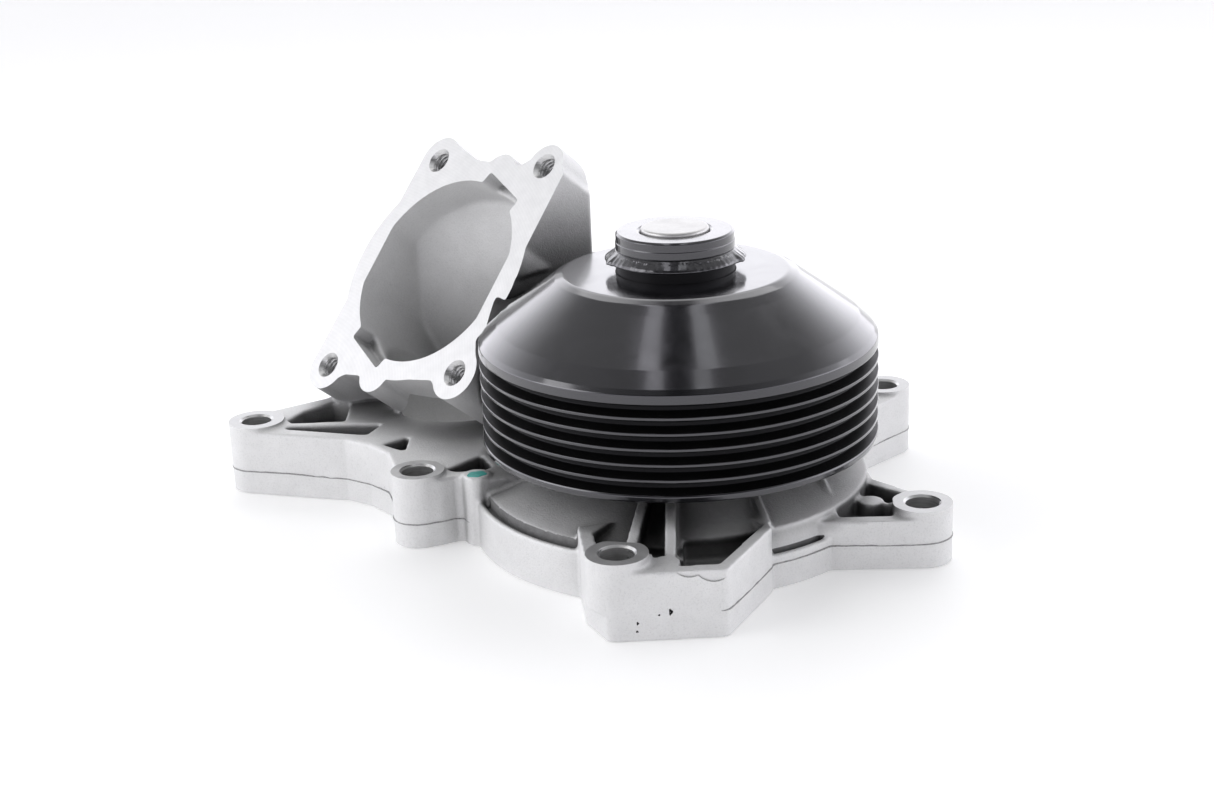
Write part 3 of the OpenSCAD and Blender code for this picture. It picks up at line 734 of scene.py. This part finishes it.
def with_stock(points):
    """Moves the CAD points on machined faces out by the machining stock."""
    moved = points.copy()
    off = (points - np.array(flange_at) * MM) @ np.array(flange_out)
    moved[np.abs(off) < FACE_SLACK * MM] += np.array(flange_out) * STOCK * MM
    moved[points[:, 2] < FACE_SLACK * MM] -= np.array((0, 0, STOCK * MM))
    for m in bolt_bores:
        from_bore = np.hypot(points[:, 0] - m["pos_m"][0], points[:, 1] - m["pos_m"][1])
        on_top = (np.abs(points[:, 2] - boss_top(m) * MM) < 0.6 * MM) & (from_bore < (SPOT_R - 0.1) * MM)
        moved[on_top] += np.array((0, 0, STOCK * MM))
    return moved


def values_of(items, name, width, kind=float):
    """A value with its parts, for each item of a mesh, as rows."""
    values = np.empty(len(items) * width, kind)
    items.foreach_get(name, values)
    return values.reshape(-1, width)


def relax(mesh, chosen, times):
    """Averages chosen points with their neighbours, so that the form flows."""
    count = len(mesh.vertices)
    points = values_of(mesh.vertices, "co", 3)
    a, b = values_of(mesh.edges, "vertices", 2, int).T
    degree = np.maximum(np.bincount(a, minlength=count) + np.bincount(b, minlength=count), 1)
    weight = chosen(points)[:, None] * 0.6
    for _ in range(times):
        mean = np.stack([np.bincount(a, points[b, k], count) + np.bincount(b, points[a, k], count)
                         for k in range(3)], -1) / degree[:, None]
        points = points + weight * (mean - points)
    mesh.vertices.foreach_set("co", points.ravel())
    mesh.update()


def inside_duct(points):
    """1 for points on the walls of the thermostat chamber and the bend under it, 0 elsewhere."""
    local = (points / MM - np.array(flange_mouth)) @ np.array(flange_turn)
    radial = np.hypot(local[:, 0], local[:, 1])
    deep = np.clip((-local[:, 2] - 3.0) / 4.0, 0, 1)
    from_port = np.hypot(points[:, 0] / MM - port_at[0], points[:, 1] / MM - port_at[1])
    low = np.clip((points[:, 2] / MM - 10.0) / 4.0, 0, 1)
    return ((radial < 27.5) & (from_port < 30)).astype(float) * deep * low


def front_wall(x):
    """Where the front wall lies in y, for a place along it."""
    return -66.6 + FRONT_SLOPE * (x + 5.5)


def front_pit(x, z, radius, stretch):
    """Cutter for a gas pore in the front wall, three-lobed; taller than wide by the stretch."""
    profile = [(0.02, -0.9), (radius, -0.8), (radius, 0.4), (0.5 * radius, 1.2), (0.02, 1.8)]
    points, faces = turned(profile, (x, front_wall(x), z), (0, 1, 0), steps=14,
                           shift=lambda height, angle: 0.25 * radius * np.sin(3 * angle + 9 * x))
    points[:, 2] = z * MM + (points[:, 2] - z * MM) * stretch
    return points, faces


def front_scallop(x, z, radius):
    """Cutter for a shallow round patch, set back a little in the front wall."""
    return turned([(radius + 0.25, -0.9), (radius, 0.3)], (x, front_wall(x), z),
                  (-FRONT_SLOPE, 0.998, 0), steps=64)


def marks_and_slots():
    """Cutters for the rim's groove, the foot slot, and the front wall's pores and chipped patch."""
    return [
        sector(*RIM_GROOVE), sector(*FOOT_SLOT),
        front_pit(-2.95, 6.3, 0.42, 1.7), front_pit(-5.4, 5.7, 0.26, 0.8),
        front_pit(-9.95, 4.0, 0.26, 1.5), front_pit(-10.1, 2.1, 0.30, 0.8),
        front_scallop(1.3, 17.9, 3.9), front_scallop(6.4, 17.2, 4.4),
    ]


def make_housing():
    """The casting: CAD form, rounded as cast, then milled, bored, threaded and drilled."""
    source = frame["nodes"]["housing"].data
    points = values_of(source.vertices, "co", 3)
    shell = (with_stock(points), [tuple(p.vertices) for p in source.polygons])
    piece = build("housing_casting", shell, *plugs(), sector(*THIN_WALL))
    remesh = piece.modifiers.new("remesh", "REMESH")
    remesh.mode, remesh.voxel_size = "VOXEL", VOXEL * MM
    settle(piece)
    relax(piece.data, lambda p: np.ones(len(p)), 3)
    relax(piece.data, inside_duct, 16)
    thin = piece.modifiers.new("thin", "DECIMATE")
    thin.ratio = min(1.0, MOST_FACES / (2 * len(piece.data.polygons)))
    settle(piece)
    flange_mill = block((-37, -40.5, 0), (40, 46, 4), flange_mouth, flange_turn)
    engine_mill = block((-140, -90, -4), (90, 110, 0))
    cutters = [flange_mill, engine_mill]
    cutters += [turned([(SPOT_R, 0), (SPOT_R, 4)], (*plan(m), boss_top(m)), steps=48) for m in bolt_bores]
    cutters += [axis_bores(), turned([(duct_r, -BELOW), (duct_r, 9)], (*port_at, 0), steps=128)]
    cutters += gasket_grooves() + [bolt_bore(m) for m in bolt_bores]
    cutters += [screw_thread(m) for m in thread_holes]
    for solid in cutters + marks_and_slots():
        cut(piece, build("cutter", solid))
    paint_faces(piece.data)
    crease(piece)
    return dress(piece, "pump_housing", "cast_alloy", "housing")


def crease(piece):
    """Smooth shading, with creases where finishes meet, on machined edges and on cut cast edges."""
    piece.data.polygons.foreach_set("use_smooth", [True] * len(piece.data.polygons))
    work = bmesh.new()
    work.from_mesh(piece.data)
    for edge in work.edges:
        if len(edge.link_faces) == 2:
            a, b = edge.link_faces
            limit = MACHINED_CREASE if a.material_index else CAST_CREASE
            if a.material_index != b.material_index:
                limit = 0
            edge.smooth = edge.calc_face_angle(0) <= math.radians(limit)
    work.to_mesh(piece.data)
    work.free()


def paint_faces(mesh):
    """Gives milled faces, bored walls, spot faces and narrow grooves their own finish, by where they are;
    the spot faces and grooves carry painted shade.
    """
    mesh.materials.clear()
    for surface in (surfaces["cast_alloy"], milled, bored, shaded_spot_face, groove_shade):
        mesh.materials.append(surface)
    centre = values_of(mesh.polygons, "center", 3) / MM
    normal = values_of(mesh.polygons, "normal", 3)
    height, facing = centre[:, 2], normal[:, 2]
    kind = np.full(len(height), CAST)
    off = (centre - np.array(flange_mouth)) @ np.array(flange_out)
    kind[(np.abs(off) < FACE_SLACK) & (normal @ np.array(flange_out) > 0.999)] = MILLED
    kind[(np.abs(height) < FACE_SLACK) & (facing < -0.999)] = MILLED
    for m in bolt_bores:
        x, y = plan(m)
        reach, top = np.hypot(centre[:, 0] - x, centre[:, 1] - y), boss_top(m)
        on_top = (np.abs(height - top) < FACE_SLACK) & (facing > 0.999)
        # painted shade: the boss tops get the darker copy of the milled finish
        kind[on_top & (reach < SPOT_R + 0.1)] = SPOT_FACED
        kind[(reach < m["dims"]["r_mm"] + 0.6) & (facing < 0.98) & (height < top)] = BORED
    for m in thread_holes:
        out = np.array(m["axis"])
        away = centre - np.array(m["pos_m"]) / MM
        reach = np.linalg.norm(away - (away @ out)[:, None] * out, axis=1)
        kind[(reach < 3.55) & (np.abs(away @ out) < 9) & (kind != MILLED)] = BORED
    spin = np.hypot(centre[:, 0], centre[:, 1])
    inward = -(normal[:, 0] * centre[:, 0] + normal[:, 1] * centre[:, 1]) / np.maximum(spin, 0.01)
    walls = (inward > 0.6) | (facing < -0.6)
    kind[(spin < chamber_r + 0.05) & (height < bearing_top + 0.3) & walls & (kind == CAST)] = BORED
    side = np.degrees(np.arctan2(centre[:, 1], centre[:, 0])) % 360
    steep = (np.abs(facing) < 0.7) | (height < 10)
    # painted shade: the far walls of the rim groove and the foot slot get the dark finish
    for inner, outer, low, high, start, end in (RIM_SHADE, FOOT_SHADE):
        kind[(spin > inner) & (spin < outer) & (height > low) & (height < high) & steep
             & (side > start) & (side < end) & (kind == CAST)] = PAINTED_SHADE
    mesh.polygons.foreach_set("material_index", kind)


# ---------- pulley, hub, shaft ----------

crest_r, groove_depth, groove_count, rib_pitch = 46.9, 2.6, 6, 3.56
groove_top, land, rim_sheet, web_sheet = 45.6, 0.3, 3.7, 3.2
hub_low, hub_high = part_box("pulley_hub")
hub_r, hub_bottom, hub_top = hub_high.x / MM, hub_low.z / MM, hub_high.z / MM
shaft_low, shaft_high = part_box("pump_shaft")
shaft_r = shaft_high.y / MM
hub_recess_z = 65.2    # under this height the hub lies in the shade of its collar
collar_tears = (math.pi * 0.98, 0.30), (math.pi * 1.10, 0.10), (0.02, 0.30), (5.95, 0.08), (2.2, 0.12)
rim_bottom, web_z = (c.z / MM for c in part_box("pulley"))


def make_pulley():
    """The pulley: belt ribs, a rolled lower edge and a pressed cone. Each corner of its section has a
    radius, a height and a rounding."""
    slope = groove_depth * math.tan(math.radians(20))
    root_r, inner_r = crest_r - groove_depth, crest_r - rim_sheet
    corners = [(hub_r, web_z, 0.3), (26.4, web_z, 2.6), (28.4, web_z - 0.85, 2.0),
               (30.6, web_z - 2.55, 2.0), (42.5, 51.65, 0.5), (45.9, 48.4, 1.0),
               (crest_r - 0.1, 47.3, 0.6), (crest_r, groove_top + 0.05, 0.5)]
    for i in range(groove_count):
        top = groove_top - i * rib_pitch
        corners += [(crest_r, top - land, 0.16), (root_r, top - land - slope, 0.35),
                    (root_r, top - rib_pitch + land + slope, 0.35), (crest_r, top - rib_pitch + land, 0.16)]
    corners += [(crest_r + 0.2, rim_bottom + 1.4, 0.5), (crest_r, rim_bottom, 0.5),
                (inner_r, rim_bottom, 0.6), (inner_r, groove_top, 2.0), (40.3, 48.45, 2.0),
                (28.6, 57.1, 2.0), (25.4, web_z - web_sheet, 2.0), (hub_r, web_z - web_sheet, 0.3)]
    profile = supported(rounded([c[:2] for c in corners], [c[2] for c in corners], 4))
    piece = build("pulley_formed", turned(profile[::-1], steps=192, closed=True))
    shade(piece, 40)
    lowest = groove_top - groove_count * rib_pitch
    # painted shade: the grooves between the ribs get the dull dark coat
    two_finishes(piece, surfaces["black_coat"], shaded_coat,
                 lambda r, z: root_r - 0.1 < r < crest_r - 0.1 and lowest < z < groove_top)
    return dress(piece, "rotor", "black_coat", "pulley")


def make_hub():
    """The hub: turned steps on its side, a bevelled mouth round the shaft."""
    neck_r, lip_r = hub_r - 0.25, hub_r - 0.12
    points = [(shaft_r, hub_bottom), (hub_r, hub_bottom), (hub_r, 64.9), (neck_r, 65.3), (neck_r, 67.9),
              (hub_r, 68.3), (hub_r, 69.9), (lip_r, 70.05), (lip_r, hub_top - 0.45), (hub_r - 0.6, hub_top),
              (shaft_r + 0.8, hub_top), (shaft_r + 0.35, hub_top - 0.35), (shaft_r + 0.02, hub_top - 0.8)]
    piece = build("hub_turned", turned(supported(rounded(points, 0.3, 3))[::-1], steps=160, closed=True))
    shade(piece, 40)
    # painted shade: below hub_recess_z the hub gets the dull dark coat
    two_finishes(piece, surfaces["hub_coat"], shaded_coat, lambda r, z: z < hub_recess_z)
    return dress(piece, "rotor", "hub_coat", "pulley_hub")


def make_collar():
    """The upset lip that holds the pulley to its hub: a smooth flared skirt, torn at its two sides."""
    steps = 420
    low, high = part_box("hub_weld_collar")
    low_z, high_z, reach = low.z / MM, high.z / MM, high.x / MM - hub_r
    angle = np.arange(steps) * TURN / steps

    def ripple(least, fall, orders):
        waves = sum(rng.uniform(least, 1.0) / k ** fall * np.sin(k * angle + rng.uniform(0, TURN))
                    for k in orders)
        return waves / np.abs(waves).max()

    wave, fine = ripple(0.4, 1, range(2, 12)), ripple(0.3, 0.5, range(20, 70))
    tears = np.zeros(steps)
    for centre, width in collar_tears:
        gap = (angle - centre + math.pi) % TURN - math.pi
        tears += rng.uniform(0.7, 1.0) * np.exp(-(gap / width) ** 2)
    tears = np.clip(tears, 0, 1)
    span = reach * (0.60 + 0.07 * wave + 0.012 * fine + 0.30 * tears)
    drop = 0.10 * wave + 0.03 * fine + 0.25 * tears * fine
    skirt = rounded([(-0.3, 0.0), (0.0, 0.0), (0.25, -0.55), (0.55, -1.15), (0.85, -1.75), (1.0, -2.25),
                     (1.0, -2.6), (0.85, -2.75), (0.5, -2.55), (0.0, -2.9), (-0.3, -2.9)], 0.35, 2)
    points = []
    for a, out, lift in zip(angle, span, drop):
        for along, down in skirt:
            r = hub_r + out * along
            z = high_z - 0.15 + down * 0.95 + lift * max(along, 0.0)
            points.append((r * math.cos(a), r * math.sin(a), min(max(z, low_z + 0.02), high_z - 0.02)))
    points = np.array(points) * MM
    points += rng.normal(0, 0.006 * MM, points.shape)
    reach_now = np.hypot(points[:, 0], points[:, 1])
    points[:, :2] *= np.minimum(1.0, high.x / reach_now)[:, None]
    piece = build("weld_collar_torn", (points, net(steps, len(skirt), closed=True)))
    normals_out(piece)
    shade(piece, 60)
    return dress(piece, "rotor", "hub_coat", "hub_weld_collar")


def make_shaft():
    """The shaft with its two ball races and a rounded end."""
    low, high = shaft_low.z / MM, shaft_high.z / MM
    ball_low, ball_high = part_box("lower_bearing_balls")
    ball_r = (ball_high.z - ball_low.z) / MM / 2 + 0.05
    ring_r, bevel, edge_r = 10.0, 0.6, 0.7
    points = [(0.01, low), (shaft_r - bevel, low), (shaft_r, low + bevel)]
    half = math.acos((ring_r - shaft_r) / ball_r)
    for row in ("lower_bearing_balls", "upper_bearing_balls"):
        middle = sum(c.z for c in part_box(row)) / MM / 2
        points += [(ring_r - ball_r * math.cos(a), middle + ball_r * math.sin(a))
                   for a in np.linspace(-half, half, 13)]
    points += [(shaft_r - edge_r + edge_r * math.cos(a), high - edge_r + edge_r * math.sin(a))
               for a in np.linspace(0, math.pi / 2, 7)]
    points.append((0.01, high))
    piece = build("shaft_ground", turned(supported(points, closed=False), steps=144))
    shade(piece, 35)
    return dress(piece, "rotor", "shaft_steel", "pump_shaft")


def make_spring():
    """The seal's spring as round wire, with its end turns."""
    low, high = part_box("seal_spring")
    wire, turns, steps, sides = 0.5, 3, 300, 14
    ring_r = high.x / MM - wire
    rise = (high.z - low.z) / MM - 2 * wire
    points = []
    for i in range(steps + 1):
        a = TURN * turns * i / steps
        z = low.z / MM + wire + rise * i / steps
        for k in range(sides):
            b = TURN * k / sides
            r = ring_r + wire * math.cos(b)
            points.append((r * math.cos(a) * MM, r * math.sin(a) * MM, (z + wire * math.sin(b)) * MM))
    ends = [tuple(range(sides)), tuple(steps * sides + k for k in reversed(range(sides)))]
    piece = build("seal_spring_wire", (points, net(steps + 1, sides) + ends))
    shade(piece, 40)
    return dress(piece, "pump_housing", "spring_steel", "seal_spring")


# ---------- marks on the casting ----------

def outline_at(mesh, height):
    """The longest closed outline of a mesh at a height, as points in order, in metres."""
    work = bmesh.new()
    work.from_mesh(mesh)
    sliced = bmesh.ops.bisect_plane(work, geom=work.verts[:] + work.edges[:] + work.faces[:],
                                    plane_co=(0, 0, height * MM), plane_no=(0, 0, 1), dist=1e-7)
    edges = [e for e in sliced["geom_cut"] if isinstance(e, bmesh.types.BMEdge)]
    beside = {}
    for e in edges:
        for v, w in (e.verts, reversed(e.verts)):
            beside.setdefault(v, []).append(w)
    loops, seen = [], set()
    for first in beside:
        if first in seen:
            continue
        loop, here, last = [], first, None
        while here is not None and here not in seen:
            seen.add(here)
            loop.append(here.co.copy())
            ahead = [v for v in beside[here] if v is not last and v not in seen]
            here, last = (ahead[0] if ahead else None), here
        loops.append(loop)
    work.free()
    return max(loops, key=lambda loop: sum((a - b).length for a, b in zip(loop, loop[1:])))


def smoothed(values, times, own=1):
    """Averages the values of a closed row with their neighbours; own is the weight of each itself."""
    for _ in range(times):
        values = (np.roll(values, 1, 0) + own * values + np.roll(values, -1, 0)) / (2 + own)
    return values


def make_flash(housing):
    """The thin ragged line of flash where the die halves met, all round the casting."""
    step = 0.5
    loop = outline_at(housing.data, PARTING_Z)
    path = np.array([tuple(p) for p in loop])[:, :2]
    closed = np.vstack([path, path[:1]])
    length = np.concatenate([[0], np.cumsum(np.hypot(*np.diff(closed, axis=0).T))]) / MM
    count = int(length[-1] / step)
    at = np.arange(count) * length[-1] / count
    path = np.stack([np.interp(at, length, closed[:, k]) for k in (0, 1)], -1) / MM
    path = smoothed(path, 2, own=2)
    along = np.roll(path, -1, 0) - np.roll(path, 1, 0)
    along /= np.linalg.norm(along, axis=1)[:, None]
    out = np.stack([along[:, 1], -along[:, 0]], -1)
    area = np.sum(path[:, 0] * np.roll(path[:, 1], -1) - path[:, 1] * np.roll(path[:, 0], -1))
    out *= np.sign(area)
    rough = smoothed(rng.normal(0, 1, count), 2)
    slow = np.interp(at, np.arange(0, length[-1] + 12, 12), rng.uniform(-1, 1, int(length[-1] / 12) + 2))
    proud = np.clip(0.20 + 0.12 * slow + 0.10 * rough, 0.02, 0.42)
    from_axis = np.hypot(path[:, 0], path[:, 1])
    # the front block and the left of the rim were trimmed clean, so the flash sinks in there
    wiped = (path[:, 1] < -38) & (path[:, 0] < 8)
    wiped |= (from_axis < 51.5) & (path[:, 0] < -12) & (path[:, 1] < 0)
    share = smoothed(wiped.astype(float), 6)
    proud = proud * (1 - share) - 0.15 * share
    height = PARTING_Z + 0.30 * slow + 0.08 * rough
    sunk, half = 0.25, 0.15
    corners = (-sunk, -half * 1.7), (proud, -half * 0.6), (proud, half * 0.6), (-sunk, half * 1.7)
    points = np.stack([np.column_stack([path + out * (np.zeros(count) + reach)[:, None], height + lift])
                       for reach, lift in corners], 1)
    faces = net(count, len(corners), closed=True)
    piece = build("parting_flash", (points.reshape(-1, 3) * MM, faces))
    normals_out(piece)
    shade(piece, 50)
    # the flash's darker finish is painted shade along the parting line
    piece.data.materials.append(flash_shade)
    return dress(piece, "pump_housing", "cast_alloy")


def normals_out(piece):
    """Makes a closed mesh's faces all look outwards."""
    work = bmesh.new()
    work.from_mesh(piece.data)
    bmesh.ops.recalc_face_normals(work, faces=work.faces[:])
    work.to_mesh(piece.data)
    work.free()


def make_paint_dot():
    """The dab of inspection paint on the small pad of the left arm."""
    (x, y), top, radius, dome, sunk = (-48.1, -10.9), 16.95, 2.5, 0.45, 0.25
    rings, steps = 7, 48
    angle = np.arange(steps) * TURN / steps
    edge = radius * (1 + 0.10 * np.sin(2 * angle + 0.6) + 0.06 * np.sin(5 * angle + 2.0))
    points = [(x, y, top + dome)]
    for k in range(1, rings + 1):
        share = k / rings
        z = top + dome * (1 - share ** 3) - (sunk if k == rings else 0.0)
        points += [(x + e * share * math.cos(a), y + e * share * math.sin(a), z)
                   for a, e in zip(angle, edge)]
    faces = [(0, 1 + k, 1 + (k + 1) % steps) for k in range(steps)]
    faces += net(rings, steps, first=1)
    faces.append(tuple(1 + (rings - 1) * steps + k for k in reversed(range(steps))))
    piece = build("paint_dot", (np.array(points) * MM, faces))
    normals_out(piece)
    shade(piece, 50)
    piece.data.materials.append(paint_surface())
    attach(piece, "pump_housing")
    return piece


# ---------- scene ----------

make_camera()
make_world()
make_lights()
make_floor(floor_surface())

for node in frame["nodes"].values():
    finish = node.data.materials[0].name if node.data.materials else "cast_alloy"
    for slot in node.material_slots:
        slot.link = "OBJECT"
        slot.material = surfaces[finish.split(".")[0]]

make_flash(make_housing())
make_paint_dot()
make_pulley()
make_hub()
make_collar()
make_shaft()
make_spring()

scene.view_settings.view_transform = "Standard"
